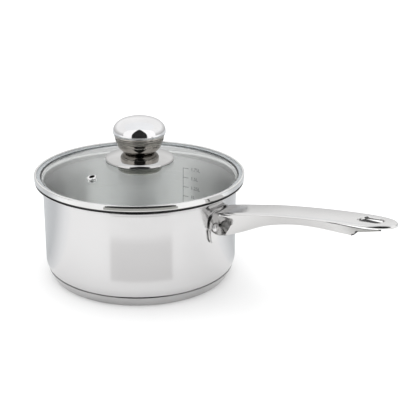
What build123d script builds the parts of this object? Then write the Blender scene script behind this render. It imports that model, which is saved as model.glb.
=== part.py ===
from build123d import *
import math
import os

# Stainless saucepan, 18 cm across, with a domed glass lid.
# Millimetres. +Z is up, the origin is the centre of the base's underside,
# and the handle points along +X.

# Pan
wall_radius = 90.0          # outside of the straight wall
sheet = 0.8                 # drawn steel sheet of the body
cap_sheet = 0.6             # steel sheet of the base cap
core_height = 3.8           # aluminium disc between body and cap
corner_radius = 13.0        # outside bend from the wall to the floor
seam_height = 9.3           # top edge of the base cap, up the corner
seam_radius = 88.1
foot_radius = 82.4          # flat part of the underside
lip_top = 92.0              # flat lip that the lid rests on
lip_radius = 97.0
lip_bend = 5.0              # outside bend under the lip

# Lid
lid_gap = 0.2               # the lid's stored height above the lip
rim_sheet = 0.5
rim_radius = 97.5
rim_mouth = 92.8            # inner edge of the rim above the glass
skirt_radius = 88.4         # turned-down edge that centres the lid
skirt_bottom = 86.8
seal_thickness = 0.4
glass_thickness = 3.8
glass_radius = 95.2
brim_radius = 90.5          # the dome starts here, with a flat brim outside it
dome_rise = 14.8
screw_hole = 4.0            # radius of the hole for the knob's screw
vent_distance = 58.7        # from the lid's centre
vent_angle = -99.5          # degrees round from the handle
vent_hole = 3.0

# Knob and what clamps it to the glass
flange_radius = 32.0
flange_edge = 2.6           # height of the flange's turned-down edge
flange_top = 116.9          # flat seat of the knob
seat_radius = 13.0
knob_seam = 134.0
knob_radius = 24.4
knob_top = 150.0
cup_radius = 20.5
cup_bottom = 98.7
screw_radius = 2.5
thread_clearance = 0.05

# Handle
handle_half = 14.0          # half the width of the grip
handle_sheet = 1.8
handle_end = 254.0
hang_centre = 232.0
hang_length = 20.0
hang_width = 12.0
handle_neck = 5.0           # half the channel's width between the rivets
handle_tail = 9.8           # half the channel's width at its open end
channel_end = 244.0
rivet_height = 65.7
rivet_side = 11.2           # rivets left and right of the handle's middle
rivet_head = 3.8

core_bottom = cap_sheet
body_bottom = core_bottom + core_height
floor_top = body_bottom + sheet
rim_bottom = lip_top + lid_gap
seal_bottom = rim_bottom + rim_sheet
brim_bottom = seal_bottom + seal_thickness
brim_top = brim_bottom + glass_thickness
seal_top = brim_top + seal_thickness
rim_top = seal_top + rim_sheet
dome_top = brim_top + dome_rise
dome_sphere = (brim_radius**2 + dome_rise**2) / (2 * dome_rise)
inner_brim = brim_radius - 1.2
dome_under = brim_bottom + dome_sphere - math.sqrt(dome_sphere**2 - inner_brim**2)


def turned(*edges):
    """A closed outline in radius and height, turned about the Z axis."""
    return revolve(Plane.XZ * make_face(Wire(list(edges))), Axis.Z)


def rod(radius, low, high):
    """A plain cylinder on the Z axis."""
    return Pos(0, 0, low) * Cylinder(radius, high - low, align=(Align.CENTER, Align.CENTER, Align.MIN))


def tube(outer, inner, low, high):
    """A plain ring or sleeve on the Z axis."""
    return rod(outer, low, high) - rod(inner, low, high)


def dome_height(radius, apex):
    """Height of the dome's surface, whose top is at apex."""
    return apex - dome_sphere + math.sqrt(dome_sphere**2 - radius**2)


def dome_arc(start, end, apex):
    """The dome's curve between two radii, for an outline."""
    middle = (start + end) / 2
    return ThreePointArc(
        (start, dome_height(start, apex)),
        (middle, dome_height(middle, apex)),
        (end, dome_height(end, apex)),
    )


def bend(centre, radius, start_angle, end_angle):
    """A round bend for an outline, given by its centre and two angles."""
    angles = (start_angle, (start_angle + end_angle) / 2, end_angle)
    points = []
    for angle in angles:
        turn = math.radians(angle)
        points.append((centre[0] + radius * math.cos(turn), centre[1] + radius * math.sin(turn)))
    return ThreePointArc(*points)


def body_outside():
    """Everything inside the drawn body's outer surface, up to the lip."""
    bend_top = body_bottom + corner_radius
    flat = wall_radius - corner_radius
    return turned(
        Line((0, body_bottom), (flat, body_bottom)),
        bend((flat, bend_top), corner_radius, -90, 0),
        Line((wall_radius, bend_top), (wall_radius, lip_top)),
        Line((wall_radius, lip_top), (0, lip_top)),
        Line((0, lip_top), (0, body_bottom)),
    )


def pan_shell():
    """Drawn body: floor, wall and the flat lip rolled outwards at the mouth."""
    bend_top = body_bottom + corner_radius
    flat = wall_radius - corner_radius
    lip_under = lip_top - sheet
    lip_centre = (wall_radius + lip_bend, lip_under - lip_bend)
    lip_edge = lip_radius - sheet / 2
    inner_bend = lip_bend + sheet
    shell = turned(
        Line((0, body_bottom), (flat, body_bottom)),
        bend((flat, bend_top), corner_radius, -90, 0),
        Line((wall_radius, bend_top), (wall_radius, lip_centre[1])),
        bend(lip_centre, lip_bend, 180, 90),
        Line((lip_centre[0], lip_under), (lip_edge, lip_under)),
        bend((lip_edge, lip_under + sheet / 2), sheet / 2, -90, 90),
        Line((lip_edge, lip_top), (lip_centre[0], lip_top)),
        bend(lip_centre, inner_bend, 90, 180),
        Line((wall_radius - sheet, lip_centre[1]), (wall_radius - sheet, bend_top)),
        bend((flat, bend_top), corner_radius - sheet, 0, -90),
        Line((flat, floor_top), (0, floor_top)),
        Line((0, floor_top), (0, body_bottom)),
    )
    return shell - rivet_shanks()


def cap_outline(inset):
    """The base cap's side, from the foot up to the seam, moved in by inset."""
    foot = (foot_radius, inset)
    heel = (84.0 - inset * 0.9, 1.3 + inset * 0.5)
    knee = (83.4 - inset * 0.6, 0.38 + inset * 0.85)
    side = (86.3 - inset * 0.9, 5.2 + inset * 0.4)
    seam = (seam_radius - inset, seam_height + inset * 0.1)
    return foot, knee, heel, side, seam


def base_cap():
    """Thin steel cap pressed over the aluminium disc."""
    foot, knee, heel, side, seam = cap_outline(0.0)
    foot_in, knee_in, heel_in, side_in, seam_in = cap_outline(cap_sheet)
    return turned(
        Line((0, 0), foot),
        ThreePointArc(foot, knee, heel),
        ThreePointArc(heel, side, seam),
        Line(seam, seam_in),
        ThreePointArc(seam_in, side_in, heel_in),
        ThreePointArc(heel_in, knee_in, foot_in),
        Line(foot_in, (0, cap_sheet)),
        Line((0, cap_sheet), (0, 0)),
    ) - body_outside()


def base_core():
    """Aluminium disc, squeezed up into the corner between cap and body."""
    foot, knee, heel, side, seam = cap_outline(cap_sheet)
    blank = turned(
        Line((0, core_bottom), foot),
        ThreePointArc(foot, knee, heel),
        ThreePointArc(heel, side, seam),
        Line(seam, (0, seam[1])),
        Line((0, seam[1]), (0, core_bottom)),
    )
    trim = rod(seam_radius + 5, seam_height - 1.2, seam_height + 5)
    return blank - body_outside() - trim


def rivet_place(side):
    """A rivet's position on the wall: its axis points out of the pan."""
    angle = math.degrees(math.asin(side * rivet_side / wall_radius))
    return Rot(0, 0, angle) * Pos(wall_radius, 0, rivet_height) * Rot(0, 90, 0)


def rivet_shanks():
    """The rivets' shanks, which also cut the holes in the wall and the ears."""
    shank = Cylinder(2.4, 8.0)
    return rivet_place(-1) * shank + rivet_place(1) * shank


def handle_rivets():
    """Two rivets with domed heads outside and flat heads in the pan."""
    head_base = handle_sheet + 0.3
    head_rise = 2.4
    head_sphere = (rivet_head**2 + head_rise**2) / (2 * head_rise)
    head_edge = math.degrees(math.acos(rivet_head / head_sphere))
    inside = -sheet - 0.4
    rivet = turned(
        Line((0, inside - 1.0), (3.2, inside - 1.0)),
        ThreePointArc((3.2, inside - 1.0), (4.2, inside - 0.7), (4.6, inside)),
        Line((4.6, inside), (2.4, inside)),
        Line((2.4, inside), (2.4, head_base)),
        Line((2.4, head_base), (rivet_head, head_base)),
        bend((0, head_base + head_rise - head_sphere), head_sphere, head_edge, 90),
        Line((0, head_base + head_rise), (0, inside - 1.0)),
    )
    return Compound(children=[rivet_place(-1) * rivet, rivet_place(1) * rivet])


def channel_plan(inset, ring, ring_bend):
    """Plan of the channel, moved in by inset: a neck between the rivets, a
    flare to the full width, a long grip that narrows to its open end, and the
    ears' ring against the wall."""
    mitre = inset / 3
    neck = (97 + mitre, handle_neck - inset)
    shoulder = (109 + mitre, handle_half - inset)
    knee = (205, handle_half - inset)
    end = (channel_end + inset, handle_tail - inset)
    right = [(60, neck[1]), neck, shoulder, knee, end]
    left = [(x, -y) for x, y in reversed(right)]
    strip = make_face(Polyline(*right, *left, close=True))
    plan = strip + Circle(ring)
    reach = math.sqrt(ring**2 - neck[1] ** 2)
    for place, radius in (((reach, neck[1]), ring_bend), (neck, 4 + inset), (shoulder, 8 - inset)):
        corners = [v for v in plan.vertices() if math.dist((v.X, abs(v.Y)), place) < 0.3]
        plan = fillet(corners, radius)
    return plan


def crown(drop):
    """The handle's back, seen from the side, lowered by drop."""
    return Spline(
        (86, 79.6 - drop),
        (118, 86.0 - drop),
        (150, 91.9 - drop),
        (200, 98.0 - drop),
        (handle_end + 2, 102.2 - drop),
    )


def grip_side_view():
    """The channel seen from the side, from the crown down to its free edges."""
    top = crown(0)
    lower = Spline((99, 56.5), (119, 67.8), (143, 79.2), (170, 86.0), (195, 88.1), (221.5, 87.8))
    return make_face(
        Wire([
            top,
            Line(top @ 1, (handle_end + 2, 97.5)),
            Line((handle_end + 2, 97.5), (243, 97.0)),
            Line((243, 97.0), (225, 92.0)),
            Line((225, 92.0), (221.5, 87.8)),
            lower,
            Line((99, 56.5), (94, 51.0)),
            Line((94, 51.0), (86, 51.0)),
            Line((86, 51.0), top @ 0),
        ])
    )


def ear_front_view():
    """The two ears and the grip between them, seen from the handle's end."""
    view = Pos(0, 48) * Rectangle(2 * handle_neck + 1, 60, align=(Align.CENTER, Align.MIN))
    for side in (-1, 1):
        outline = Wire([
            Spline(
                (side * 4, 81.0),
                (side * 13.5, 79.0),
                (side * 18.4, 72.7),
                (side * 19.4, 65.0),
                (side * 16.4, 55.0),
                (side * 10.5, 50.6),
                (side * 4, 50.0),
            ),
            Line((side * 4, 50.0), (side * 4, 81.0)),
        ])
        view += make_face(outline)
    return view


def handle():
    """Pressed sheet: a crowned strip with sides folded down, ending in two ears."""
    ear_inside = wall_radius + 0.3
    outside = extrude(Pos(0, 0, 40) * channel_plan(0, ear_inside + handle_sheet, 2.0), 70)
    inside = extrude(Pos(0, 0, 39) * channel_plan(handle_sheet, ear_inside, 2.0 + handle_sheet), 72)
    side_view = extrude(Plane.XZ * grip_side_view(), 60, both=True)
    front_view = extrude(Plane.YZ * ear_front_view(), 300)
    grip_only = extrude(Pos(98, 0, 40) * Rectangle(200, 60, align=(Align.MIN, Align.CENTER)), 70)
    sides = (outside - inside) & side_view & (front_view + grip_only)

    plate_view = make_face(
        Wire([
            crown(0),
            Line(crown(0) @ 1, crown(handle_sheet) @ 1),
            crown(handle_sheet),
            Line(crown(handle_sheet) @ 0, crown(0) @ 0),
        ])
    )
    plate = extrude(Plane.XZ * plate_view, 60, both=True)
    tip = 11.0
    plan = make_face(
        Wire([
            Line((80, -11.5), (104, -handle_half)),
            Line((104, -handle_half), (215, -handle_half)),
            Spline(
                (215, -handle_half),
                (handle_end - tip, -11.2),
                (handle_end, 0),
                (handle_end - tip, 11.2),
                (215, handle_half),
                tangents=((1, 0), (-1, 0)),
            ),
            Line((215, handle_half), (104, handle_half)),
            Line((104, handle_half), (80, 11.5)),
            Line((80, 11.5), (80, -11.5)),
        ])
    )
    plate &= extrude(Pos(0, 0, 40) * plan, 80)
    plate -= rod(wall_radius + 2.2, 40, 120)
    slot = extrude(Pos(hang_centre, 0, 60) * SlotOverall(hang_length, hang_width), 60)
    return (sides + plate) - slot - rivet_shanks()


def lid_glass():
    """Tempered dome with a flat brim, a hole for the screw and one for the vent."""
    glass = turned(
        dome_arc(screw_hole, brim_radius, dome_top),
        Line((brim_radius, brim_top), (glass_radius - 0.6, brim_top)),
        bend((glass_radius - 0.6, brim_top - 0.6), 0.6, 90, 0),
        Line((glass_radius, brim_top - 0.6), (glass_radius, brim_bottom + 0.6)),
        bend((glass_radius - 0.6, brim_bottom + 0.6), 0.6, 0, -90),
        Line((glass_radius - 0.6, brim_bottom), (inner_brim, brim_bottom)),
        dome_arc(inner_brim, screw_hole, dome_under),
        Line((screw_hole, dome_height(screw_hole, dome_under)), (screw_hole, dome_height(screw_hole, dome_top))),
    )
    return glass - vent_place() * Cylinder(vent_hole, 20)


def vent_place():
    """The vent's position: its axis stands square to the dome."""
    tilt = math.degrees(math.asin(vent_distance / dome_sphere))
    height = dome_height(vent_distance, dome_top)
    return Rot(0, 0, vent_angle) * Pos(vent_distance, 0, height) * Rot(0, tilt, 0)


def vent_eyelet():
    """Steel eyelet clenched through the glass, open for steam."""
    bore = 1.9
    under = dome_under - dome_top - 0.15
    eyelet = turned(
        Line((bore, under - 0.7), (bore, 0.7)),
        ThreePointArc((bore, 0.7), (2.8, 1.25), (3.9, 0.85)),
        ThreePointArc((3.9, 0.85), (4.4, 0.45), (4.2, 0.12)),
        Line((4.2, 0.12), (2.85, 0.12)),
        Line((2.85, 0.12), (2.85, under)),
        Line((2.85, under), (3.9, under)),
        ThreePointArc((3.9, under), (3.1, under - 0.75), (bore, under - 0.7)),
    )
    return vent_place() * eyelet


def lid_rim():
    """Polished band folded round the seal, with a skirt that drops in the pan."""
    outer = rim_radius
    crown_bend = 1.3
    foot_bend = 1.9
    inner = outer - rim_sheet
    inner_top = rim_top - rim_sheet
    inner_bottom = rim_bottom + rim_sheet
    skirt_bend = 1.8
    skirt_inner = skirt_radius - rim_sheet
    return turned(
        Line((rim_mouth, inner_top), (rim_mouth, rim_top)),
        Line((rim_mouth, rim_top), (outer - crown_bend, rim_top)),
        bend((outer - crown_bend, rim_top - crown_bend), crown_bend, 90, 0),
        Line((outer, rim_top - crown_bend), (outer, rim_bottom + foot_bend)),
        bend((outer - foot_bend, rim_bottom + foot_bend), foot_bend, 0, -90),
        Line((outer - foot_bend, rim_bottom), (skirt_radius + skirt_bend, rim_bottom)),
        bend((skirt_radius + skirt_bend, rim_bottom - skirt_bend), skirt_bend, 90, 180),
        Line((skirt_radius, rim_bottom - skirt_bend), (skirt_radius, skirt_bottom)),
        Line((skirt_radius, skirt_bottom), (skirt_inner, skirt_bottom)),
        Line((skirt_inner, skirt_bottom), (skirt_inner, rim_bottom - skirt_bend)),
        bend((skirt_radius + skirt_bend, rim_bottom - skirt_bend), skirt_bend + rim_sheet, 180, 90),
        Line((skirt_radius + skirt_bend, inner_bottom), (outer - foot_bend, inner_bottom)),
        bend((outer - foot_bend, rim_bottom + foot_bend), foot_bend - rim_sheet, -90, 0),
        Line((inner, rim_bottom + foot_bend), (inner, rim_top - crown_bend)),
        bend((outer - crown_bend, rim_top - crown_bend), crown_bend - rim_sheet, 0, 90),
        Line((outer - crown_bend, inner_top), (rim_mouth, inner_top)),
    )


def rim_seal():
    """Dark silicone channel between the glass's edge and the rim."""
    outside = 95.6
    inside_mouth = 91.4
    return turned(
        Line((rim_mouth - 0.6, brim_top), (rim_mouth - 0.6, seal_top)),
        Line((rim_mouth - 0.6, seal_top), (outside, seal_top)),
        Line((outside, seal_top), (outside, seal_bottom)),
        Line((outside, seal_bottom), (inside_mouth, seal_bottom)),
        Line((inside_mouth, seal_bottom), (inside_mouth, brim_bottom)),
        Line((inside_mouth, brim_bottom), (glass_radius, brim_bottom)),
        Line((glass_radius, brim_bottom), (glass_radius, brim_top)),
        Line((glass_radius, brim_top), (rim_mouth - 0.6, brim_top)),
    )


def knob_flange():
    """Pressed dish on the glass that spreads the knob's load."""
    edge_low = dome_height(flange_radius, dome_top) + 0.5
    edge_top = edge_low + flange_edge
    shell = 0.8
    return turned(
        Line((screw_radius + 0.3, flange_top), (seat_radius, flange_top)),
        ThreePointArc((seat_radius, flange_top), (21.0, 115.6), (flange_radius - 1.4, edge_top)),
        bend((flange_radius - 1.4, edge_top - 1.4), 1.4, 90, 0),
        Line((flange_radius, edge_top - 1.4), (flange_radius, edge_low)),
        Line((flange_radius, edge_low), (flange_radius - shell, edge_low)),
        Line((flange_radius - shell, edge_low), (flange_radius - shell, edge_top - 1.4)),
        bend((flange_radius - 1.4, edge_top - 1.4), 1.4 - shell, 0, 90),
        ThreePointArc(
            (flange_radius - 1.4, edge_top - shell), (21.0, 115.6 - shell), (seat_radius, flange_top - shell)
        ),
        Line((seat_radius, flange_top - shell), (screw_radius + 0.3, flange_top - shell)),
        Line((screw_radius + 0.3, flange_top - shell), (screw_radius + 0.3, flange_top)),
    )


def flange_gasket():
    """Silicone ring between the flange's edge and the glass."""
    low = dome_height(flange_radius - 0.2, dome_top) - 0.1
    high = dome_height(flange_radius, dome_top) + 0.5
    ring = tube(flange_radius - 0.2, flange_radius - 4.0, low, high)
    return ring - under_dome(dome_top)


def under_dome(apex):
    """Everything below a dome surface, for trimming the gaskets."""
    return turned(
        dome_arc(0, 60, apex),
        Line((60, dome_height(60, apex)), (60, 90)),
        Line((60, 90), (0, 90)),
        Line((0, 90), (0, apex)),
    )


def knob_bowl():
    """Lower half of the hollow knob: a cup with two turned grooves by its mouth."""
    shell = 0.8
    outline = [(13.0, flange_top), (17.6, 119.8), (20.9, 125.9)]
    outside = turned(
        Line((0, flange_top), outline[0]),
        ThreePointArc(*outline),
        ThreePointArc(outline[2], (22.5, 129.9), (23.1, knob_seam)),
        Line((23.1, knob_seam), (0, knob_seam)),
        Line((0, knob_seam), (0, flange_top)),
    )
    inside = turned(
        Line((0, flange_top + shell), (12.4, flange_top + shell)),
        ThreePointArc((12.4, flange_top + shell), (16.8, 120.2), (20.1, 126.1)),
        ThreePointArc((20.1, 126.1), (21.7, 130.0), (22.3, knob_seam)),
        Line((22.3, knob_seam), (0, knob_seam)),
        Line((0, knob_seam), (0, flange_top + shell)),
    )
    bowl = outside - inside - rod(screw_radius + 0.3, flange_top - 1, flange_top + 2)
    for height, radius in ((131.9, 22.95), (129.6, 22.5)):
        groove = Pos(0, 0, height) * Torus(radius + 0.15, 0.35)
        bowl -= groove
    return bowl


def domed(radius, equator, top):
    """A quarter ellipse from the equator to the top, for an outline."""
    points = []
    for angle in (0, 22.5, 45, 67.5, 90):
        turn = math.radians(angle)
        points.append((radius * math.cos(turn), equator + (top - equator) * math.sin(turn)))
    points[-1] = (0, top)
    return Spline(*points, tangents=((0, 1), (-1, 0)))


def knob_cap():
    """Upper half of the hollow knob: a smooth dome with a rounded edge."""
    shell = 0.8
    equator = 136.2
    outside = turned(
        Line((0, knob_seam), (23.5, knob_seam)),
        ThreePointArc((23.5, knob_seam), (24.15, 134.9), (knob_radius, equator)),
        domed(knob_radius, equator, knob_top),
        Line((0, knob_top), (0, knob_seam)),
    )
    inside = turned(
        Line((0, knob_seam), (22.7, knob_seam)),
        ThreePointArc((22.7, knob_seam), (23.35, 134.9), (knob_radius - shell, equator)),
        domed(knob_radius - shell, equator, knob_top - shell),
        Line((0, knob_top - shell), (0, knob_seam)),
    )
    return outside - inside


def knob_insert():
    """Threaded boss welded in the bowl, which the screw pulls on."""
    low = flange_top + 0.8
    boss = tube(6.0, screw_radius + thread_clearance, low, low + 12)
    foot = tube(9.0, screw_radius + thread_clearance, low, low + 1.5)
    return boss + foot


def under_cup():
    """Pressed cup under the glass, with a recess for the screw's head."""
    shell = 0.8
    rim = dome_height(cup_radius, dome_under) - 1.0
    edge = 2.0
    recess = 8.0
    ceiling = 103.4
    return turned(
        Line((cup_radius, rim), (cup_radius, cup_bottom + edge)),
        bend((cup_radius - edge, cup_bottom + edge), edge, 0, -90),
        Line((cup_radius - edge, cup_bottom), (recess + 1, cup_bottom)),
        Line((recess + 1, cup_bottom), (recess, ceiling)),
        Line((recess, ceiling), (screw_radius + 0.3, ceiling)),
        Line((screw_radius + 0.3, ceiling), (screw_radius + 0.3, ceiling + shell)),
        Line((screw_radius + 0.3, ceiling + shell), (recess + shell, ceiling + shell)),
        Line((recess + shell, ceiling + shell), (recess + 1 + shell, cup_bottom + shell)),
        Line((recess + 1 + shell, cup_bottom + shell), (cup_radius - edge, cup_bottom + shell)),
        bend((cup_radius - edge, cup_bottom + edge), edge - shell, -90, 0),
        Line((cup_radius - shell, cup_bottom + edge), (cup_radius - shell, rim)),
        Line((cup_radius - shell, rim), (cup_radius, rim)),
    )


def cup_gasket():
    """Silicone ring between the cup and the underside of the glass."""
    low = dome_height(cup_radius, dome_under) - 1.0
    under_glass = under_dome(dome_under - 0.02)
    return tube(cup_radius - 0.1, cup_radius - 3.2, low, low + 4) & under_glass


def hole_bush():
    """Soft sleeve that keeps the screw off the glass."""
    low = dome_under - 0.6
    sleeve = tube(screw_hole - 0.1, screw_radius + 0.1, low, dome_top + 0.4)
    collar = tube(7.0, screw_radius + 0.1, dome_top, dome_top + 1.2)
    return sleeve + collar


def lid_screw():
    """Pan-head screw from under the lid up into the knob."""
    head_low = 98.9
    head_top = 101.4
    head = turned(
        Line((0, head_low), (3.0, head_low)),
        ThreePointArc((3.0, head_low), (4.3, 99.4), (4.8, head_top - 1.0)),
        Line((4.8, head_top - 1.0), (4.8, head_top)),
        Line((4.8, head_top), (0, head_top)),
        Line((0, head_top), (0, head_low)),
    )
    for turn in (0, 90):
        head -= Pos(0, 0, head_low + 0.6) * Rot(0, 0, turn) * Box(5.2, 1.0, 1.6)
    return head + rod(screw_radius, head_top, 128.0)


def spring_washer():
    """Split washer that keeps the screw tight."""
    ring = tube(4.5, screw_radius + 0.2, 101.4, 102.6)
    return ring - Pos(3.6, 0, 102.0) * Rot(25, 0, 0) * Box(3.0, 0.8, 3.0)


def flat_washer():
    """Plain washer against the cup."""
    return tube(6.0, screw_radius + 0.2, 102.6, 103.4)


PARTS = {
    "pan_shell": pan_shell,
    "base_core": base_core,
    "base_cap": base_cap,
    "handle": handle,
    "handle_rivets": handle_rivets,
    "lid_glass": lid_glass,
    "lid_rim": lid_rim,
    "rim_seal": rim_seal,
    "vent_eyelet": vent_eyelet,
    "knob_cap": knob_cap,
    "knob_bowl": knob_bowl,
    "knob_insert": knob_insert,
    "knob_flange": knob_flange,
    "flange_gasket": flange_gasket,
    "hole_bush": hole_bush,
    "under_cup": under_cup,
    "cup_gasket": cup_gasket,
    "lid_screw": lid_screw,
    "spring_washer": spring_washer,
    "flat_washer": flat_washer,
}

os.makedirs("parts", exist_ok=True)
for node, make in PARTS.items():
    export_step(make(), f"parts/{node}.step")
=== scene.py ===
import bmesh
import bpy
import math
from mathutils import Matrix, Vector


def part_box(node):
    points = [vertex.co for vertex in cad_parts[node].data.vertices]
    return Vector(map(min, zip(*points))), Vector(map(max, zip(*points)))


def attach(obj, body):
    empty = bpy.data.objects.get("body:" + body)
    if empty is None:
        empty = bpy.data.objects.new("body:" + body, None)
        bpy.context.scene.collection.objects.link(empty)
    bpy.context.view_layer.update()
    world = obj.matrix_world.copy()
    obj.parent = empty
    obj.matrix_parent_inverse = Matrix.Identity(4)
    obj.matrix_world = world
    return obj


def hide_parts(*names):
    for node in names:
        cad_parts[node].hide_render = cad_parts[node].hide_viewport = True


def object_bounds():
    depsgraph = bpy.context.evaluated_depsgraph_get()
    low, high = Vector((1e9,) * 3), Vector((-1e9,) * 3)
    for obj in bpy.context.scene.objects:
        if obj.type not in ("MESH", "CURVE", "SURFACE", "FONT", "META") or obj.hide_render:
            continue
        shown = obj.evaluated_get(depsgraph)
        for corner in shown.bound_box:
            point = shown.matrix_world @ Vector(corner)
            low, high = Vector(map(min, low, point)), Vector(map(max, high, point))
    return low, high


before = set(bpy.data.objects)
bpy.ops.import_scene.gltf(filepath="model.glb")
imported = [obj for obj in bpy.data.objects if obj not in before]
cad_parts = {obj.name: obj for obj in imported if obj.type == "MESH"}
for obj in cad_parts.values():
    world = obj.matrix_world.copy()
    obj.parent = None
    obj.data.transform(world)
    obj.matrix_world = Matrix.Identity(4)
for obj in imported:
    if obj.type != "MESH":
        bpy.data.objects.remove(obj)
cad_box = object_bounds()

# The studio: a white sweep for a floor, a plain white surround and one wide soft
# light overhead. The camera stands at the front left of the handle, a little
# above the lid, with a short telephoto lens.
scene = bpy.context.scene
scene.view_settings.view_transform = "Standard"
mm = 0.001


def place(name, data):
    """A new object at the origin, in the scene."""
    thing = bpy.data.objects.new(name, data)
    scene.collection.objects.link(thing)
    return thing


camera_spot = Vector((0.4908, -0.6524, 0.3687))
camera_aim = Vector((-0.5029, 0.7893, -0.3522))
camera_lean = math.radians(0.63)
camera = place("camera", bpy.data.cameras.new("camera"))
camera.data.sensor_width = 36
camera.data.lens = 79.685
facing = camera_aim.to_track_quat("-Z", "Y").to_matrix().to_4x4()
camera.matrix_world = Matrix.Translation(camera_spot) @ facing @ Matrix.Rotation(camera_lean, 4, "Z")
scene.camera = camera

surround = bpy.data.worlds.new("white surround")
surround.use_nodes = True
surround.node_tree.nodes["Background"].inputs["Color"].default_value = (1.0, 1.0, 1.0, 1.0)
surround.node_tree.nodes["Background"].inputs["Strength"].default_value = 1.3
scene.world = surround

softbox = place("overhead softbox", bpy.data.lights.new("overhead softbox", "AREA"))
softbox.data.shape = "SQUARE"
softbox.data.size = 1.6
softbox.data.energy = 3.0
softbox.location = (0.0, 0.1, 1.7)
softbox.visible_glossy = False


class Signal:
    """One output in a material's node tree. Arithmetic on it adds Math nodes."""

    def __init__(self, finish, socket):
        self.finish = finish
        self.socket = socket

    def math(self, operation, *inputs):
        return self.finish.node("Math", {"operation": operation}, dict(enumerate(inputs)))

    def __add__(self, other):
        return self.math("ADD", self, other)

    def __radd__(self, other):
        return self.math("ADD", other, self)

    def __sub__(self, other):
        return self.math("SUBTRACT", self, other)

    def __rsub__(self, other):
        return self.math("SUBTRACT", other, self)

    def __mul__(self, other):
        return self.math("MULTIPLY", self, other)

    def __rmul__(self, other):
        return self.math("MULTIPLY", other, self)

    def __truediv__(self, other):
        return self.math("DIVIDE", self, other)

    def __pow__(self, other):
        return self.math("POWER", self, other)


class Finish:
    """A material in the making. Its fixed values are set on the shader itself."""

    def __init__(self, name, **fixed):
        self.material = bpy.data.materials.new(name)
        self.material.use_nodes = True
        self.tree = self.material.node_tree
        self.shader = self.tree.nodes["Principled BSDF"]
        for socket, value in fixed.items():
            self.shader.inputs[socket.replace("_", " ")].default_value = value

    def node(self, kind, settings=None, sockets=None, output=0):
        """Adds a node: its settings first, then what its sockets hold or are fed by."""
        node = self.tree.nodes.new("ShaderNode" + kind)
        for name, value in (settings or {}).items():
            if name == "stops":
                self.fill_ramp(node.color_ramp, value)
            else:
                setattr(node, name, value)
        for name, value in (sockets or {}).items():
            self.feed(node.inputs[name], value)
        return Signal(self, node.outputs[output])

    def fill_ramp(self, ramp, stops):
        while len(ramp.elements) < len(stops):
            ramp.elements.new(1.0)
        for element, (position, level) in zip(ramp.elements, stops):
            element.position = position
            element.color = (level, level, level, 1.0)

    def feed(self, socket, value):
        if isinstance(value, Signal):
            self.tree.links.new(value.socket, socket)
        else:
            socket.default_value = value

    def set(self, **sockets):
        """Feeds the shader's own sockets with what changes over the surface."""
        for name, value in sockets.items():
            self.feed(self.shader.inputs[name.replace("_", " ")], value)
        return self.material

    def spot(self):
        """The point on the piece, in metres."""
        return self.node("TexCoord", output=3)

    def axes(self):
        """The same point as three numbers."""
        parts = self.node("SeparateXYZ", None, {0: self.spot()})
        outputs = parts.socket.node.outputs
        return [Signal(self, outputs[i]) for i in range(3)]

    def noise(self, scale, detail=3.0, vector=None, rough=0.5):
        """Soft random tone, from 0 to 1."""
        sockets = {"Scale": scale, "Detail": detail, "Roughness": rough}
        sockets["Vector"] = vector or self.spot()
        return self.node("TexNoise", None, sockets)

    def ramp(self, value, *stops):
        return self.node("ValToRGB", {"stops": stops}, {"Fac": value})

    def blend(self, factor, first, second):
        """A colour between two colours."""
        sockets = {0: factor, 6: first, 7: second}
        return self.node("Mix", {"data_type": "RGBA"}, sockets, output=2)

    def relief(self, height, depth):
        """Turns a height from 0 to 1 into surface relief, depth in metres."""
        return self.node("Bump", None, {"Height": height, "Distance": depth, "Strength": 1.0})


# The floor: a wide sweep of matt white board, level with the foot of the pan. It
# glows very faintly, so that it stays white away from the light.
def staged(name, bm, finish, mirrored_only=False):
    """Stands a sheet in the studio. Some sheets are seen only in reflections."""
    mesh = bpy.data.meshes.new(name)
    bm.to_mesh(mesh)
    bm.free()
    mesh.materials.append(finish.material)
    sheet = place(name, mesh)
    if mirrored_only:
        sheet.visible_camera = False
        sheet.visible_shadow = False
        sheet.visible_diffuse = False


floor_reach = 4.0
floor_tone = (0.85, 0.85, 0.85, 1.0)
floor_finish = Finish("white sweep", Base_Color=floor_tone, Roughness=0.9, Emission_Strength=0.1)
floor_finish.shader.inputs["Emission Color"].default_value = (1.0, 1.0, 1.0, 1.0)
floor_grain = floor_finish.noise(900.0)
floor_finish.set(Normal=floor_finish.relief(floor_grain, 0.00002))
bm = bmesh.new()
bmesh.ops.create_circle(bm, cap_ends=True, segments=64, radius=floor_reach)
bmesh.ops.translate(bm, verts=bm.verts, vec=(0, 0, cad_box[0][2]))
staged("floor", bm, floor_finish)


# The open front of the light tent, which only polished metal sees: dark beyond the
# end of the table, rising behind the camera to a point. A paler card lies nearer.
flag_finish = Finish("dark flag", Base_Color=(0.012, 0.012, 0.012, 1.0), Roughness=1.0)
grey_finish = Finish("grey card", Base_Color=(0.72, 0.715, 0.715, 1.0), Roughness=1.0)
camera_side = math.degrees(math.atan2(camera_spot.y, camera_spot.x))
flag_steps = 24


def flag(name, finish, stations, middle=camera_side):
    """A screen round the pan: rows of distance, height and half width in degrees."""
    bm = bmesh.new()
    rows = []
    for distance, height, half in stations:
        row = []
        for i in range(flag_steps + 1):
            turn = math.radians(middle - half + 2 * half * i / flag_steps)
            row.append(bm.verts.new((distance * math.cos(turn), distance * math.sin(turn), height)))
        rows.append(row)
    for near, far in zip(rows, rows[1:]):
        for i in range(flag_steps):
            bm.faces.new((near[i], near[i + 1], far[i + 1], far[i]))
    staged(name, bm, finish, mirrored_only=True)


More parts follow.
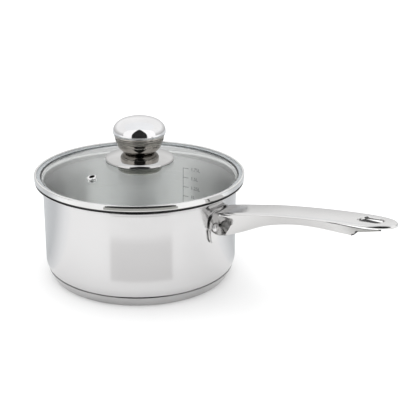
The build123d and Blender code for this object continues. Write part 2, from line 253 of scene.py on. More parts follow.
gap_top = 77
gap_half = 33
gap_tip_half = 1.0
gap_radius = 1.2
gap_steps = 26
gap_low = [(0.365, 0.001, gap_half), (0.9, 0.001, gap_half)]
gap_high = []
for step in range(gap_steps + 1):
    rise = gap_top * step / gap_steps
    half = gap_tip_half + (gap_half - gap_tip_half) * math.sqrt(1 - (rise / gap_top) ** 2.2)
    slope = math.radians(rise)
    gap_high.append((gap_radius * math.cos(slope), gap_radius * math.sin(slope) + 0.002, half))
flag("tent gap", flag_finish, gap_low + gap_high)
flag("table card", grey_finish, [(0.141, 0.0008, 24.7), (0.247, 0.0008, 29.6)])
edge_finish = Finish("table edge", Base_Color=(0.36, 0.36, 0.34, 1.0), Roughness=1.0)
flag("table edge", edge_finish, [(0.315, 0.0008, 34), (0.37, 0.0008, 34)])


# The sides and back of the tent: greyer cloth than its front, brighter towards the
# top. The table there is covered by a card that fades out at its ends.
side_finish = Finish("tent side", Base_Color=(0.0, 0.0, 0.0, 1.0), Roughness=1.0, Emission_Strength=1.2)
side_rise = side_finish.axes()[2]
side_tone = side_finish.ramp(side_rise, (0.0, 0.42), (0.3, 0.66), (0.55, 0.92), (0.9, 0.92))
side_finish.set(Emission_Color=side_tone)
side_radius = 1.25
side_half = 108
side_wall = []
for rise in range(0, 61, 10):
    slope = math.radians(rise)
    side_wall.append((side_radius * math.cos(slope), side_radius * math.sin(slope) + 0.003, side_half))
flag("tent side", side_finish, side_wall, camera_side + 180)
back_side = camera_side + 182
back_finish = Finish("back card", Roughness=1.0)
x, y, z = back_finish.axes()
toward = x * math.cos(math.radians(back_side)) + y * math.sin(math.radians(back_side))
card_depth = back_finish.ramp(0.5 + toward / (x * x + y * y) ** 0.5, (0.40, 0.0), (0.74, 1.0))
card_ends = (0.86, 0.87, 0.88, 1.0)
card_middle = (0.54, 0.555, 0.57, 1.0)
back_finish.set(Base_Color=back_finish.blend(card_depth, card_ends, card_middle))
flag("back card", back_finish, [(0.098, 0.0008, 95), (0.5, 0.0008, 103), (1.25, 0.0008, 107)], back_side)


# The roof of the tent: one flat cloth, a little greyer than the walls. Its straight
# front edge stands just in front of the pan.
roof_finish = Finish("tent roof", Base_Color=(0.0, 0.0, 0.0, 1.0), Roughness=1.0, Emission_Strength=1.12)
roof_finish.shader.inputs["Emission Color"].default_value = (0.97, 0.985, 1.0, 1.0)
roof_height = 1.0
roof_front = 0.27
roof_reach = 4.0
bm = bmesh.new()
bmesh.ops.create_grid(bm, x_segments=8, y_segments=8, size=roof_reach)
roof_move = Matrix.Rotation(math.radians(camera_side), 4, "Z")
roof_move = roof_move @ Matrix.Translation((roof_front - roof_reach, 0, roof_height))
bmesh.ops.transform(bm, verts=bm.verts, matrix=roof_move)
staged("tent roof", bm, roof_finish, mirrored_only=True)


# The body: one disc of stainless sheet, drawn into a straight-sided cup. The
# mouth is flared into a flat lip. Outside it is buffed, inside it keeps the
# fine circular brushing of the wheel.
def arc(centre, radius, start, end, steps=6):
    """Points of a round bend in an outline, between two angles in degrees."""
    points = []
    for i in range(steps + 1):
        turn = math.radians(start + (end - start) * i / steps)
        points.append((centre[0] + radius * math.cos(turn), centre[1] + radius * math.sin(turn)))
    return points


def finished(name, bm, finish, body, sharp=35):
    """Makes the object of a mesh that is ready: smooth, with its true edges kept."""
    for face in bm.faces:
        face.smooth = True
    for edge in bm.edges:
        edge.smooth = not edge.is_manifold or edge.calc_face_angle(0.0) < math.radians(sharp)
    mesh = bpy.data.meshes.new(name)
    bm.to_mesh(mesh)
    bm.free()
    mesh.materials.append(finish)
    piece = place(name, mesh)
    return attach(piece, body)


def turned(name, outline, finish, body, steps=192, closed=True):
    """A piece turned on a lathe: an outline in radius and height, in millimetres."""
    bm = bmesh.new()
    corners = [bm.verts.new((r * mm, 0, z * mm)) for r, z in outline]
    edges = [bm.edges.new(pair) for pair in zip(corners, corners[1:])]
    if closed:
        edges.append(bm.edges.new((corners[-1], corners[0])))
    bmesh.ops.spin(
        bm,
        geom=corners + edges,
        cent=(0, 0, 0),
        axis=(0, 0, 1),
        angle=2 * math.pi,
        steps=steps,
        use_merge=True,
    )
    bmesh.ops.remove_doubles(bm, verts=bm.verts, dist=0.002 * mm)
    bmesh.ops.recalc_face_normals(bm, faces=bm.faces)
    return finished(name, bm, finish, body)


def satin_lines(finish, across, along=0.6):
    """Fine lines that run round the pan, from a noise stretched along them."""
    x, y, z = finish.axes()
    radius = (x * x + y * y) ** 0.5
    angle = finish.node("Math", {"operation": "ARCTAN2"}, {0: y, 1: x})
    where = finish.node("CombineXYZ", None, {0: radius * across, 1: angle * along, 2: z * across})
    return finish.noise(1.0, 4.0, where, 0.7)


def body_steel():
    finish = Finish("buffed body steel", Metallic=1.0, Anisotropic=0.35)
    lines = satin_lines(finish, 2600.0)
    clouds = finish.noise(14.0, 2.0)
    wipes = finish.noise(60.0, 4.0)
    tone = finish.ramp(lines * 0.5 + clouds * 0.5, (0.3, 0.0), (0.7, 1.0))
    colour = finish.blend(tone, (0.60, 0.595, 0.597, 1.0), (0.66, 0.655, 0.655, 1.0))
    finish.set(
        Base_Color=colour,
        Roughness=0.10 + 0.06 * wipes + 0.05 * lines,
        Normal=finish.relief(lines, 0.000004),
    )
    return finish.material


def brushed_inside():
    finish = Finish("brushed inside steel", Metallic=1.0, Anisotropic=0.75, Anisotropic_Rotation=0.25)
    lines = satin_lines(finish, 2200.0, 0.9)
    clouds = finish.noise(18.0, 2.0)
    tone = finish.ramp(lines * 0.6 + clouds * 0.4, (0.3, 0.0), (0.7, 1.0))
    colour = finish.blend(tone, (0.88, 0.885, 0.88, 1.0), (0.95, 0.95, 0.945, 1.0))
    finish.set(
        Base_Color=colour,
        Roughness=0.24 + 0.10 * lines,
        Normal=finish.relief(lines, 0.000008),
    )
    return finish.material


shell_low, shell_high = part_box("pan_shell")
lip_radius = shell_high.x / mm
lip_top = shell_high.z / mm
floor_under = shell_low.z / mm
wall = 90.0
sheet = 0.8
corner = 13.0
lip_bend = 5.0
floor_inside = floor_under + sheet
bend_top = floor_under + corner
lip_under = lip_top - sheet
lip_centre = (wall + lip_bend, lip_under - lip_bend)
outside_outline = (
    [(0, floor_under), (40, floor_under)]
    + arc((wall - corner, bend_top), corner, -90, 0, 14)
    + [(wall, 30), (wall, 45), (wall, 60), (wall, 75)]
    + arc(lip_centre, lip_bend, 180, 90, 10)
    + arc((lip_radius - sheet / 2, lip_top - sheet / 2), sheet / 2, -90, 90, 6)
)
inside_outline = (
    arc(lip_centre, lip_bend + sheet, 90, 180, 12)
    + [(wall - sheet, 75), (wall - sheet, 60), (wall - sheet, 45), (wall - sheet, 30)]
    + arc((wall - corner, bend_top), corner - sheet, 0, -90, 14)
    + [(60, floor_inside), (40, floor_inside), (20, floor_inside), (0, floor_inside)]
)
pan_shell = turned("pan_shell_skin", outside_outline + inside_outline, body_steel(), "pan", 256, closed=False)
pan_shell.data.materials.append(brushed_inside())
for face in pan_shell.data.polygons:
    outward = Vector((face.center.x, face.center.y, 0)).dot(face.normal)
    faces_in = outward < -0.0001 or (face.normal.z > 0.5 and face.center.z < 0.05)
    face.material_index = 1 if faces_in else 0
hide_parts("pan_shell")


# The litre scale etched inside the wall: a line, a tick every quarter of a litre
# and the figures beside them. Each height follows from the bore of the pan.
def wall_mark(bm, angle_from, angle_to, low, high, lift=0.05):
    """A thin bar on the inside of the wall, between two angles and two heights."""
    outer = (wall - sheet) * mm
    inner = outer - lift * mm
    count = max(2, int(abs(angle_to - angle_from)) * 2)
    rings = []
    for i in range(count + 1):
        turn = math.radians(angle_from + (angle_to - angle_from) * i / count)
        ring = []
        for radius, z in ((outer, low), (outer, high), (inner, high), (inner, low)):
            ring.append(bm.verts.new((radius * math.cos(turn), radius * math.sin(turn), z * mm)))
        rings.append(ring)
    for one, two in zip(rings, rings[1:]):
        for i in range(4):
            j = (i + 1) % 4
            bm.faces.new((one[i], one[j], two[j], two[i]))
    bm.faces.new(rings[0])
    bm.faces.new(rings[-1])


def etched():
    finish = Finish("etched grey", Metallic=0.3)
    patches = finish.noise(700.0, 4.0)
    hue = finish.blend(patches, (0.09, 0.10, 0.11, 1.0), (0.19, 0.20, 0.21, 1.0))
    finish.set(Base_Color=hue, Roughness=0.45 + 0.25 * patches, Normal=finish.relief(patches, 0.00001))
    return finish.material


etched_finish = etched()
bore_litres_per_mm = math.pi * (wall - sheet) ** 2 * 1e-6
scale_angle = 97.3
tick_angle = 93.3
line_thick = 0.5
levels = [0.5, 0.75, 1.0, 1.25, 1.5, 1.75]
scale_bottom = floor_inside + levels[0] / bore_litres_per_mm - 6
scale_top = floor_inside + levels[-1] / bore_litres_per_mm + line_thick / 2
bm = bmesh.new()
line_half = math.degrees(line_thick / 2 / wall)
wall_mark(bm, scale_angle + line_half, scale_angle - line_half, scale_bottom, scale_top)
for litres in levels:
    tick_low = floor_inside + litres / bore_litres_per_mm - line_thick / 2
    wall_mark(bm, scale_angle - line_half, tick_angle, tick_low, tick_low + line_thick)
bmesh.ops.recalc_face_normals(bm, faces=bm.faces)
finished("litre_scale_marks", bm, etched_finish, "pan")

figure_angle = 91.6
figure_size = 5.2
figure_relief = 0.02
figure_drop = 0.35 * figure_size
for litres in levels:
    lettering = bpy.data.curves.new("figure", "FONT")
    lettering.body = f"{litres:g}L"
    lettering.size = figure_size * mm
    lettering.extrude = figure_relief * mm
    lettering.resolution_u = 3
    flat = place("figure", lettering)
    mesh = bpy.data.meshes.new_from_object(flat)
    bpy.data.objects.remove(flat)
    bpy.data.curves.remove(lettering)
    height = floor_inside + litres / bore_litres_per_mm - figure_drop
    for vertex in mesh.vertices:
        turn = math.radians(figure_angle) - vertex.co.x / (wall * mm)
        radius = (wall - sheet - figure_relief) * mm - vertex.co.z
        vertex.co = (radius * math.cos(turn), radius * math.sin(turn), height * mm + vertex.co.y)
    bm = bmesh.new()
    bm.from_mesh(mesh)
    bmesh.ops.remove_doubles(bm, verts=bm.verts, dist=0.0005 * mm)
    bmesh.ops.recalc_face_normals(bm, faces=bm.faces)
    bpy.data.meshes.remove(mesh)
    finished(f"litre_figure_{int(litres * 100)}", bm, etched_finish, "pan")


# The thick base: a stainless cap pressed over an aluminium slab that spreads the
# heat. The cap is polished outside. The slab's rough edge can just be seen.
def coat(name, material):
    """Gives a part that keeps its CAD shape its own finish."""
    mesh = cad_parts[name].data
    for i in range(len(mesh.materials)):
        mesh.materials[i] = material


def polished(name, tone, smooth=0.05, haze=0.07, grain=40.0):
    """Buffed stainless with faint hairlines and a little haze."""
    finish = Finish(name, Metallic=1.0)
    cloud = finish.noise(grain, 5.0)
    fine = finish.noise(900.0, 2.0)
    light = tuple(min(1.0, c * 1.04) for c in tone) + (1.0,)
    dark = tuple(c * 0.95 for c in tone) + (1.0,)
    hue = finish.blend(finish.ramp(cloud, (0.35, 0.0), (0.65, 1.0)), dark, light)
    finish.set(Base_Color=hue, Roughness=smooth + haze * cloud, Normal=finish.relief(fine, 0.000003))
    return finish.material


coat("base_cap", polished("polished base cap", (0.52, 0.515, 0.515), 0.16, 0.12))
slab = Finish("pressed aluminium", Metallic=1.0)
slab_grain = slab.noise(500.0, 6.0)
slab_tone = slab.blend(slab_grain, (0.50, 0.50, 0.51, 1.0), (0.72, 0.72, 0.73, 1.0))
slab.set(Base_Color=slab_tone, Roughness=0.4 + 0.25 * slab_grain, Normal=slab.relief(slab_grain, 0.00003))
coat("base_core", slab.material)


# The handle: pressed from sheet, folded down at both sides and polished all over.
# A deep scoop round each rivet leads into an ear that hugs the wall. The rolled
# top plate overhangs the sides at the root and the tail, and has a slot to hang by.
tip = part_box("handle")[1].x / mm
grip_half = 14.0
fold = 2.0
sheet_thick = 1.4
ear_face = wall + 1.65
ear_reach = 19.35
neck_start = 6.8
crown_line = [(86, 79.6), (118, 86.0), (150, 91.9), (200, 98.0), (256, 102.2)]
cut = 221.5
belly_line = [(94, 57.4), (102.3, 61.2), (119, 68.0), (143, 79.2), (170, 86.0), (195, 88.1), (cut, 87.8)]
tail_line = [(cut, 87.8), (225, 91.6), (247, 96.6)]
ear_top = [(4, 81.0), (13.5, 79.0), (18.4, 72.7), (19.4, 65.2)]
ear_bottom = [(4, 57.5), (8.5, 55.5), (12.5, 52.3), (15.6, 51.4), (18.4, 56.0), (19.4, 64.8)]
scoop_line = [(0, 102.3), (0.2, 105.0), (0.4, 107.4), (0.58, 108.9), (0.72, 109.2), (0.84, 107.8)]
scoop_line += [(0.93, 104.0), (0.98, 99.5), (1, 96.0)]
ear_share = 0.25
scoop_share = 0.5
flank_end = 244
tail_pinch = 6.72


def along(line, x):
    """Height of a smooth line through given points, at x."""
    x = min(max(x, line[0][0]), line[-1][0])
    i = 0
    while i < len(line) - 2 and x > line[i + 1][0]:
        i += 1
    slopes = []
    for k in (i, i + 1):
        before = line[max(k - 1, 0)]
        after = line[min(k + 1, len(line) - 1)]
        slopes.append((after[1] - before[1]) / (after[0] - before[0]))
    (x0, y0), (x1, y1) = line[i], line[i + 1]
    width = x1 - x0
    t = (x - x0) / width
    start = (1 + 2 * t) * (1 - t) ** 2 * y0 + t * (1 - t) ** 2 * width * slopes[0]
    return start + t * t * (3 - 2 * t) * y1 + t * t * (t - 1) * width * slopes[1]


def straight(line, x):
    """Height of a bent straight line, at x."""
    for (x0, y0), (x1, y1) in zip(line, line[1:]):
        if x <= x1:
            return y0 + (y1 - y0) * (x - x0) / (x1 - x0)
    return line[-1][1]


def smooth(x, start, end):
    t = min(max((x - start) / (end - start), 0.0), 1.0)
    return t * t * (3 - 2 * t)


def belly(x):
    return along(belly_line, x) if x <= cut else straight(tail_line, x)


def side_top(x):
    slit = 1.1 * (1 - smooth(x, 104, 113)) + 0.9 * smooth(x, 190, 205) + 2.1 * smooth(x, 203, 232)
    return along(crown_line, x) - fold - slit


def side_spot(u, v):
    """A point on the handle's flank: u runs from the ear to the tail, v upwards."""
    scoop_end = along(scoop_line, v)
    if u < ear_share:
        turn = u / ear_share
        across = ear_reach - (ear_reach - neck_start) * (1 - math.cos(turn * math.pi / 2))
        low = along(ear_bottom, across)
        high = along(ear_top, across)
        return (math.sqrt(ear_face**2 - across**2), across, low + (high - low) * v)
    if u < scoop_share:
        t = (u - ear_share) / (scoop_share - ear_share)
        deep = 6.0 + 4.0 * smooth(v, 0.86, 1.0)
        ends = ((ear_face - 0.25, neck_start), (ear_face + 0.6, deep))
        ends += ((scoop_end - 4.5, 10.6), (scoop_end, grip_half))
        weights = ((1 - t) ** 3, 3 * t * (1 - t) ** 2, 3 * t * t * (1 - t), t**3)
        x = sum(w * e[0] for w, e in zip(weights, ends))
        across = sum(w * e[1] for w, e in zip(weights, ends))
        start = smooth(t, 0.0, 0.6)
        low = along(ear_bottom, neck_start) * (1 - start) + belly(x) * start
        high = along(ear_top, neck_start) * (1 - start) + side_top(x) * start
        return (x, across, low + (high - low) * v)
    t = (u - scoop_share) / (1 - scoop_share)
    x = scoop_end + (flank_end - scoop_end) * t
    across = grip_half - tail_pinch * smooth(x, 203, 262)
    low = belly(x)
    return (x, across, low + (side_top(x) - low) * v)


def painted_shade_steel():
    """The hidden side of the sheet, left dull, with its colour painted dark as shade and a few stains."""
    finish = Finish("steel painted in shade", Metallic=1.0)
    stain = finish.noise(90.0, 5.0)
    # Painted shade: near black, varied a little by the stains.
    hue = finish.blend(stain, (0.05, 0.05, 0.05, 1.0), (0.14, 0.14, 0.14, 1.0))
    finish.set(Base_Color=hue, Roughness=0.35 + 0.2 * stain, Normal=finish.relief(stain, 0.00002))
    return finish.material


def handle_steel():
    finish = Finish("polished handle", Metallic=1.0, Anisotropic=0.2)
    x, y, z = finish.axes()
    stretched = finish.node("CombineXYZ", None, {0: x * 60.0, 1: y * 1500.0, 2: z * 1500.0})
    lines = finish.noise(1.0, 3.0, stretched, 0.6)
    cloud = finish.noise(30.0, 4.0)
    hue = finish.blend(cloud, (0.60, 0.595, 0.59, 1.0), (0.68, 0.675, 0.67, 1.0))
    finish.set(
        Base_Color=hue,
        Roughness=0.11 + 0.07 * cloud + 0.05 * lines,
        Normal=finish.relief(lines, 0.000004),
    )
    return finish.material


handle_finish = handle_steel()
shade_finish = painted_shade_steel()
scoop_limit = 110
cut_start = 220.6
cut_end = 225.5
ear_steps = 12
scoop_steps = 22
grip_steps = 60
roll = 1.7
roll_steps = 6
roll_turn = 80
flank_columns = [ear_share * i / ear_steps for i in range(ear_steps)]
flank_columns += [ear_share + (scoop_share - ear_share) * i / scoop_steps for i in range(scoop_steps)]
flank_columns += [scoop_share + (1 - scoop_share) * i / grip_steps for i in range(grip_steps + 1)]
flank_rows = [i / 20 for i in range(17)] + [0.83, 0.86, 0.89, 0.92, 0.95, 0.975, 1.0]
for side, side_name in ((-1, "near"), (1, "far")):
    bm = bmesh.new()
    columns = []
    for u in flank_columns:
        column = []
        x, across, z = side_spot(u, 0.0)
        curl = roll * smooth(x, 105, 119) * (1 - smooth(x, cut - 2, cut)) + 0.05
        for i in range(roll_steps):
            turn = math.radians(roll_turn - roll_turn * i / roll_steps)
            inward = curl * (1 - math.cos(turn))
            column.append((x, across - inward, z + curl - curl * math.sin(turn)))
        for v in flank_rows:
            spot = side_spot(u, v)
            column.append((spot[0], spot[1], spot[2] + curl * (1 - v) ** 4))
        columns.append([bm.verts.new((a * mm, side * b * mm, c * mm)) for a, b, c in column])
    for one, two in zip(columns, columns[1:]):
        for i in range(len(one) - 1):
            bm.faces.new((one[i], two[i], two[i + 1], one[i + 1]))
    bmesh.ops.remove_doubles(bm, verts=bm.verts, dist=0.01 * mm)
    bmesh.ops.recalc_face_normals(bm, faces=bm.faces)
    middle = max(bm.faces, key=lambda f: f.calc_area())
    if middle.normal.y * side < 0:
        bmesh.ops.reverse_faces(bm, faces=bm.faces)
    flank = finished(f"handle_flank_{side_name}", bm, handle_finish, "pan", 42)
    flank.data.materials.append(shade_finish)
    flank.data.materials.append(handle_finish)
    # Faces at the tail cut are painted dark as the shade inside the channel. Away from the ear, the
    # solidified inner side takes the same painted shade.
    for face in flank.data.polygons:
        at, height = face.center.x / mm, face.center.z / mm
        if at < scoop_limit:
            face.material_index = 2
        elif cut_start < at < cut_end and height < belly(at) + roll:
            face.material_index = 1
    thicken = flank.modifiers.new("sheet", "SOLIDIFY")
    thicken.material_offset = 1
    thicken.thickness = sheet_thick * mm
    thicken.offset = -1
    ease = flank.modifiers.new("eased edges", "BEVEL")
    ease.width = 0.3 * mm
    ease.segments = 2
    ease.limit_method = "ANGLE"
    ease.angle_limit = math.radians(60)
    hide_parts("handle")

plate_start = 92.4
plate_steps = 45
root_pinch = 2.5
plate_crown = 0.5
tip_steps = 30
tip_start = 215.0
tip_length = tip - tip_start
hang_centre = 232.0
hang_reach = 4.0
hang_radius = 6.0
plate_outline = []
for i in range(plate_steps):
    x = plate_start + (tip_start - plate_start) * i / plate_steps
    plate_outline.append((x, grip_half - root_pinch * (1 - smooth(x, 82, 106))))
for i in range(tip_steps + 1):
    turn = math.radians(90 * i / tip_steps)
    plate_outline.append((tip_start + tip_length * math.sin(turn) ** (2 / 3), grip_half * math.cos(turn)))


def plate_height(x, y):
    """The plate's top: it follows the crown and is a little fuller in the middle."""
    return along(crown_line, x) - plate_crown * (y / grip_half) ** 2


bend_radius = min(fold, 1.9)
edge_columns = 8
bm = bmesh.new()
stations = []
for i, (x, half) in enumerate(plate_outline):
    before = plate_outline[max(i - 1, 0)]
    after = plate_outline[min(i + 1, len(plate_outline) - 1)]
    run = Vector((after[0] - before[0], after[1] - before[1]))
    out = Vector((-run.y, run.x)).normalized() if i < len(plate_outline) - 1 else Vector((1.0, 0.0))
    if i == 0:
        out = Vector((0.0, 1.0))
    drop = fold + smooth(x, 225, tip)
    edge = Vector((x, half)) - out * bend_radius
    half_row = []
    for k in range(edge_columns + 1):
        y = edge.y * k / edge_columns
        half_row.append((edge.x, y, plate_height(edge.x, y)))
    for k in range(1, 7):
        turn = math.radians(15 * k)
        spot = edge + out * bend_radius * math.sin(turn)
        half_row.append((spot.x, spot.y, plate_height(edge.x, edge.y) - bend_radius * (1 - math.cos(turn))))
    last = half_row[-1]
    half_row.append((last[0], last[1], plate_height(edge.x, edge.y) - drop))
    row = [(a, -b, c) for a, b, c in reversed(half_row[1:])] + half_row
    stations.append([bm.verts.new((a * mm, b * mm, c * mm)) for a, b, c in row])
for one, two in zip(stations, stations[1:]):
    for i in range(len(one) - 1):
        bm.faces.new((one[i], two[i], two[i + 1], one[i + 1]))
bmesh.ops.remove_doubles(bm, verts=bm.verts, dist=0.01 * mm)
bmesh.ops.recalc_face_normals(bm, faces=bm.faces)
if max(bm.faces, key=lambda f: f.calc_area()).normal.z < 0:
    bmesh.ops.reverse_faces(bm, faces=bm.faces)
plate = finished("handle_plate", bm, handle_finish, "pan", 42)
plate.data.materials.append(shade_finish)
# The plate's underside takes the painted shade, and shows as a dark wedge in the polished flanks.
thicken = plate.modifiers.new("sheet", "SOLIDIFY")
thicken.material_offset = 1
thicken.thickness = sheet_thick * mm
thicken.offset = -1


def slot_outline(grow, count=32):
    """The hanging slot in plan, moved out by grow: each point with its direction."""
    spots = []
    for i in range(count * 2):
        turn = math.radians(-90 + 360 * i / (count * 2))
        centre = hang_centre + (hang_reach if i < count else -hang_reach)
        out = (math.cos(turn), math.sin(turn))
        spots.append((centre + (hang_radius + grow) * out[0], (hang_radius + grow) * out[1], out))
    return spots


cutter_mesh = bpy.data.meshes.new("slot cutter")
cutter_low = 80 * mm
cutter_high = 120 * mm
slot_play = 0.7
bm = bmesh.new()
lower = [bm.verts.new((x * mm, y * mm, cutter_low)) for x, y, out in slot_outline(slot_play)]
upper = [bm.verts.new((x * mm, y * mm, cutter_high)) for x, y, out in slot_outline(slot_play)]
bm.faces.new(lower)
bm.faces.new(upper)
for i in range(len(lower)):
    j = (i + 1) % len(lower)
    bm.faces.new((lower[i], lower[j], upper[j], upper[i]))
bmesh.ops.recalc_face_normals(bm, faces=bm.faces)
bm.to_mesh(cutter_mesh)
bm.free()
cutter = place("slot cutter", cutter_mesh)
cut = plate.modifiers.new("slot", "BOOLEAN")
cut.operation = "DIFFERENCE"
cut.object = cutter
cut.solver = "EXACT"
bpy.context.view_layer.update()
cut_mesh = bpy.data.meshes.new_from_object(plate.evaluated_get(bpy.context.evaluated_depsgraph_get()))
plate.modifiers.clear()
plate.data = cut_mesh
bpy.data.objects.remove(cutter)
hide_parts("handle")

bm = bmesh.new()
rolled = [(1.3, 0.10), (0.8, 0.06), (0.35, -0.25), (0.06, -0.75)]
rolled += [(0.0, -1.3), (0.0, -2.2), (0.65, -2.2), (0.65, -1.0)]
loops = []
for x, y, out in slot_outline(0.0):
    loop = []
    for reach, rise in rolled:
        at, beside = x + out[0] * reach, y + out[1] * reach
        loop.append(bm.verts.new((at * mm, beside * mm, (plate_height(at, beside) + rise) * mm)))
    loops.append(loop)
for i, loop in enumerate(loops):
    follow = loops[(i + 1) % len(loops)]
    for k in range(len(loop)):
        m = (k + 1) % len(loop)
        bm.faces.new((loop[k], follow[k], follow[m], loop[m]))
bmesh.ops.recalc_face_normals(bm, faces=bm.faces)
slot_edge = finished("handle_slot_edge", bm, handle_finish, "pan", 50)


# Two domed steel rivets. Each passes through its ear and the wall, and is
# clenched flat inside the pan.
rivet_low, rivet_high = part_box("handle_rivets")
rivet_head = 3.9
crease = rivet_head + 0.45
rivet_middle = (rivet_low.z + rivet_high.z) / 2 / mm
rivet_side = rivet_high.y / mm - 3.75
rivet_outline = [(0, 2.7), (1.3, 2.6), (2.4, 2.25), (3.2, 1.6), (3.75, 0.85)]
rivet_outline += [(rivet_head, 0.2), (crease, 0.05), (crease - 0.1, -0.2)]
rivet_outline += [(2.0, -0.2), (2.0, -3.1), (3.3, -3.1), (3.1, -3.7), (2.0, -4.1), (0, -4.2)]
rivet_finish = polished("polished rivets", (0.88, 0.875, 0.87), 0.36, 0.1, 160.0)
for side, side_name in ((-1, "near"), (1, "far")):
    rivet = turned(f"handle_rivet_{side_name}", rivet_outline, rivet_finish, "pan", 48, closed=False)
    rivet.data.materials.append(shade_finish)
    # A narrow ring just outside the head is painted dark as shade in the crease round the rivet.
    for face in rivet.data.polygons:
        out = math.hypot(face.center.x, face.center.y) / mm
        face.material_index = 1 if out > rivet_head and face.center.z > -mm else 0
    swing = math.asin(side * rivet_side / ear_face)
    spot = Vector((ear_face * math.cos(swing), side * rivet_side, rivet_middle)) * mm
    turn = Matrix.Rotation(swing, 4, "Z") @ Matrix.Rotation(math.pi / 2, 4, "Y")
    rivet.data.transform(Matrix.Translation(spot) @ turn)
    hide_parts("handle_rivets")


# The lid's ring: thin stainless rolled into a bead round the edge of the glass, with
# a skirt that drops inside the pan. Outside it is mirror bright. Its folded foot is
# left dull and painted dark as shade, so a dark line shows above the pan's lip.
ring_low, ring_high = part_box("lid_rim")
ring_radius = ring_high.x / mm
bead_top = ring_high.z / mm + 1.5
bead_inner = ring_radius - 2.2
foot = shell_high.z / mm + 0.2
skirt_bottom = ring_low.z / mm
skirt_outer = 88.4
ring_sheet = 0.5
ring_outline = [(bead_inner, bead_top - 3.0), (bead_inner, bead_top - 1.0)]
ring_outline += arc((bead_inner + 0.8, bead_top - 0.8), 0.8, 180, 90, 6)
ring_outline += arc((ring_radius - 1.1, bead_top - 1.1), 1.1, 90, 0, 8)
ring_outline += [(ring_radius, bead_top - 2.4), (ring_radius, foot + 2.9)]
ring_outline += arc((ring_radius - 1.3, foot + 2.8), 1.3, 0, -80, 8)
ring_outline += [(ring_radius - 1.5, foot + 0.9), (ring_radius - 1.9, foot + 0.1), (ring_radius - 2.6, foot)]
ring_outline += [(skirt_outer + 1.8, foot)]
ring_outline += arc((skirt_outer + 1.8, foot - 1.8), 1.8, 90, 180, 6)
ring_outline += [(skirt_outer, skirt_bottom), (skirt_outer - ring_sheet, skirt_bottom)]
ring_outline += arc((skirt_outer + 1.8, foot - 1.8), 2.3, 180, 90, 6)
ring_outline += [(ring_radius - 2.2, foot + ring_sheet)]
ring_steel = polished("polished lid ring", (0.68, 0.68, 0.675), 0.03, 0.05)
ring = turned("lid_ring", ring_outline, ring_steel, "lid", 256)
ring.data.materials.append(shade_finish)
# The underside of the foot takes the painted shade, for the dark line above the pan's lip.
for face in ring.data.polygons:
    reach = math.hypot(face.center.x, face.center.y) / mm
    height = face.center.z / mm
    if reach > skirt_outer + 1.5 and height < foot + 1.6:
        face.material_index = 1
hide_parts("lid_rim")


# The seal between the ring and the glass: clear silicone, a little milky. It is
# pressed into the ring and grips the edge of the glass.
def silicone(name, first, second, sheer, rough):
    """Soft rubber with a fine moulded grain and a little dust in it."""
    finish = Finish(name, Transmission_Weight=sheer, IOR=1.41, Specular_IOR_Level=0.4)
    grain = finish.noise(800.0, 4.0)
    dust = finish.noise(120.0, 5.0)
    hue = finish.blend(dust, first, second)
    finish.set(Base_Color=hue, Roughness=rough + 0.2 * grain, Normal=finish.relief(grain, 0.00001))
    return finish.material


milky, clear = (0.80, 0.86, 0.90, 1.0), (0.90, 0.94, 0.96, 1.0)
coat("rim_seal", silicone("clear silicone", milky, clear, 0.6, 0.15))


# The lid itself: tempered glass, drawn into a shallow dome with a flat brim. It is
# held in the ring by its seal, and has a hole for the knob's screw and one for steam.
def tempered_glass():
    finish = Finish("tempered glass", Transmission_Weight=1.0, IOR=1.2)
    ripple = finish.noise(22.0, 2.0)
    smears = finish.noise(60.0, 5.0)
    tint = finish.blend(smears, (0.975, 0.995, 0.987, 1.0), (0.99, 1.0, 0.997, 1.0))
    film = finish.ramp(smears, (0.5, 0.0), (0.8, 0.012))
    finish.set(Base_Color=tint, Roughness=film, Normal=finish.relief(ripple, 0.00002))
    return finish.material


coat("lid_glass", tempered_glass())


# The steam vent: a small steel eyelet, pressed through the dome and flared over
# below it.
def eyelet_steel():
    """Bright on the flange. The bore is painted dark as shade."""
    finish = Finish("polished eyelet", Metallic=1.0)
    x, y, z = finish.axes()
    vent_low, vent_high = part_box("vent_eyelet")
    off_x = x - (vent_low.x + vent_high.x) / 2
    off_y = y - (vent_low.y + vent_high.y) / 2
    # Painted shade: near black inside the bore, bright steel outside it.
    bore = finish.ramp((off_x * off_x + off_y * off_y) ** 0.5 * 200.0, (0.45, 0.0), (0.56, 1.0))
    cloud = finish.noise(250.0, 4.0)
    hue = finish.blend(bore, (0.02, 0.02, 0.02, 1.0), (0.75, 0.745, 0.74, 1.0))
    finish.set(Base_Color=hue, Roughness=0.1 + 0.06 * cloud, Normal=finish.relief(cloud, 0.000004))
    return finish.material


coat("vent_eyelet", eyelet_steel())


# The knob: a domed cap rolled over a waisted bowl, both spun from thin stainless
# and polished. A moulded insert inside takes the thread of the screw.
cap_low, cap_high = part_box("knob_cap")
cap_radius = cap_high.x / mm
cap_top = cap_high.z / mm
cap_seam = cap_low.z / mm
cap_waist = cap_seam + 2.2
cap_sheet = 0.6
cap_fullness = 2.3


def dome(radius, base, rise, steps=40):
    """Half of a full, slightly squared dome, from its edge up to the middle."""
    points = []
    for i in range(steps + 1):
        turn = math.pi / 2 * i / steps
        across = radius * math.cos(turn) ** (2 / cap_fullness) if i < steps else 0.0
        points.append((across, base + rise * math.sin(turn) ** (2 / cap_fullness)))
    return points


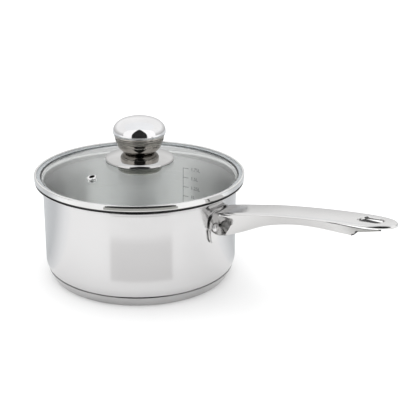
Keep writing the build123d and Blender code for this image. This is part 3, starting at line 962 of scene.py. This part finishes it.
cap_outline = [(cap_radius - 1.9, cap_seam), (cap_radius - 1.3, cap_seam)]
cap_outline += [(cap_radius - 0.75, cap_seam + 0.4), (cap_radius - 0.25, cap_seam + 1.2)]
cap_outline += dome(cap_radius, cap_waist, cap_top - cap_waist)
cap_outline += list(reversed(dome(cap_radius - cap_sheet, cap_waist, cap_top - cap_waist - cap_sheet)))
cap_outline += [(cap_radius - 1.9, cap_seam + 0.6)]
cap_finish = polished("polished knob cap", (0.73, 0.725, 0.73), 0.04, 0.05)
knob_cap = turned("knob_cap_skin", cap_outline, cap_finish, "lid", 160)
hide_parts("knob_cap")
# The bowl is the cap's stainless painted much darker and warmer, as the shade and dark reflections it shows.
coat("knob_bowl", polished("knob bowl steel painted darker", (0.36, 0.338, 0.31), 0.04, 0.04))
insert_dark, insert_light = (0.02, 0.02, 0.02, 1.0), (0.05, 0.05, 0.05, 1.0)
coat("knob_insert", silicone("moulded insert", insert_dark, insert_light, 0.0, 0.45))


# Below the knob: a spun stainless dish that stands on the glass, with a soft ring
# under its edge. The screw pulls both down.
dish_low, dish_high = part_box("knob_flange")
dish_radius = dish_high.x / mm
dish_seat = dish_high.z / mm
dish_edge = dish_low.z / mm
dish_sheet = 0.8
dish_top = [(13, dish_seat), (17, dish_seat - 0.2), (20.5, dish_seat - 0.7), (24, dish_seat - 1.5)]
dish_top += [(27, dish_seat - 2.45), (29.3, dish_seat - 3.3), (30.8, dish_seat - 4.0)]
dish_top += [(31.6, dish_seat - 4.7), (dish_radius, dish_seat - 5.5), (dish_radius, dish_edge)]
dish_under = [(r - dish_sheet * 0.9 * smooth(r, 20, 30), z - dish_sheet) for r, z in dish_top[:-2]]
dish_outline = [(2.8, dish_seat)] + dish_top + [(dish_radius - dish_sheet, dish_edge)]
dish_outline += list(reversed(dish_under)) + [(2.8, dish_seat - dish_sheet)]
dish_steel = polished("polished dish", (0.54, 0.535, 0.53), 0.05, 0.06)
dish = turned("knob_dish", dish_outline, dish_steel, "lid", 160)
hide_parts("knob_flange")
gasket_dark, gasket_light = (0.03, 0.03, 0.03, 1.0), (0.08, 0.08, 0.08, 1.0)
coat("flange_gasket", silicone("dark gasket", gasket_dark, gasket_light, 0.0, 0.5))


# Under the glass: a steel cup that clamps the lid to the knob, with its own soft
# ring, and a bush that keeps the screw off the glass.
coat("under_cup", polished("polished cup", (0.47, 0.47, 0.43), 0.04, 0.05))
coat("cup_gasket", silicone("cup gasket", (0.03, 0.03, 0.03, 1.0), (0.07, 0.07, 0.07, 1.0), 0.0, 0.5))
coat("hole_bush", silicone("screw bush", (0.04, 0.04, 0.04, 1.0), (0.09, 0.09, 0.09, 1.0), 0.0, 0.4))


# The screw up the middle: plated steel, with a flat and a spring washer under its
# head. It runs from under the cup up into the insert.
def plated(name, tone):
    """Plain plated steel, a little dull, with fine turning marks."""
    finish = Finish(name, Metallic=1.0)
    marks = satin_lines(finish, 4200.0, 0.5)
    cloud = finish.noise(200.0, 4.0)
    dark = tuple(c * 0.85 for c in tone[:3]) + (1.0,)
    hue = finish.blend(cloud, dark, tone)
    finish.set(Base_Color=hue, Roughness=0.22 + 0.2 * cloud, Normal=finish.relief(marks, 0.000006))
    return finish.material


coat("lid_screw", plated("plated screw", (0.62, 0.62, 0.60, 1.0)))
coat("spring_washer", plated("spring steel", (0.45, 0.45, 0.46, 1.0)))
coat("flat_washer", plated("plated washer", (0.60, 0.60, 0.58, 1.0)))
